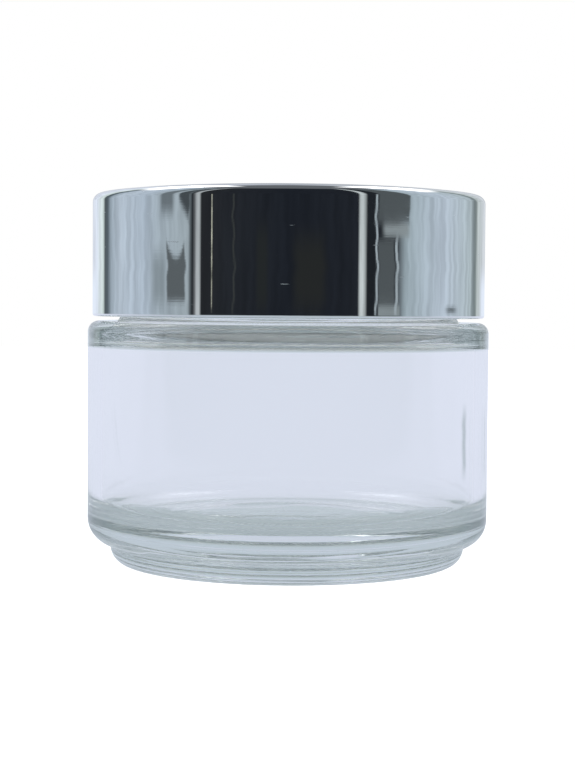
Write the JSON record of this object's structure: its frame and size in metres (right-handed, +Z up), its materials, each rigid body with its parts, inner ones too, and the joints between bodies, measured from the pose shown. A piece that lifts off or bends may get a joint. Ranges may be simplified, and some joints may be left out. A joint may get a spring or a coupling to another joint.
{
  "type": "cosmetic cream jar",
  "caption": "Clear glass cosmetic cream jar with a heavy base and narrower foot, under a mirror-polished metal screw lid with threaded insert, foam liner and sealing disc.",
  "frame": {"origin": "centre of the foot's bearing face, on the jar's axis", "axes": "+Z up along the axis of the jar and of the lid's thread; X and Y are equivalent, and -Y faces the viewer"},
  "size_m": [0.07, 0.07, 0.0647],
  "materials": {
    "clear_glass": "clear, fire polished",
    "lid_metal": "mirror polished",
    "insert_plastic": "moulded, satin",
    "liner_foam": "closed-cell foam with a smooth skin",
    "disc_plastic": "translucent, satin"
  },
  "bodies": {
    "jar": {"glass_jar": "clear_glass"},
    "liner": {"lid_liner": "liner_foam"},
    "lid": {"lid_shell": "lid_metal", "lid_insert": "insert_plastic"},
    "disc": {"sealing_disc": "disc_plastic"}
  },
  "joints": [
    {"name": "lid_lift", "type": "slide", "parent": "jar", "child": "liner", "axis": [0, 0, 1], "range_m": [0, 0.0255]},
    {"name": "lid_turn", "type": "hinge", "parent": "liner", "child": "lid", "pos_m": [0, 0, 0.05], "axis": [0, 0, 1], "range_deg": [0, 2160]},
    {"name": "disc_lift", "type": "slide", "parent": "jar", "child": "disc", "axis": [0, 0, 1], "range_m": [0, 0.0101]}
  ],
  "couplings": [
    {"joint": "lid_lift", "follows": "lid_turn", "m_per_rad": 0.00067376},
    {"joint": "disc_lift", "follows": "lid_turn", "m_per_rad": 0.00026526}
  ]
}
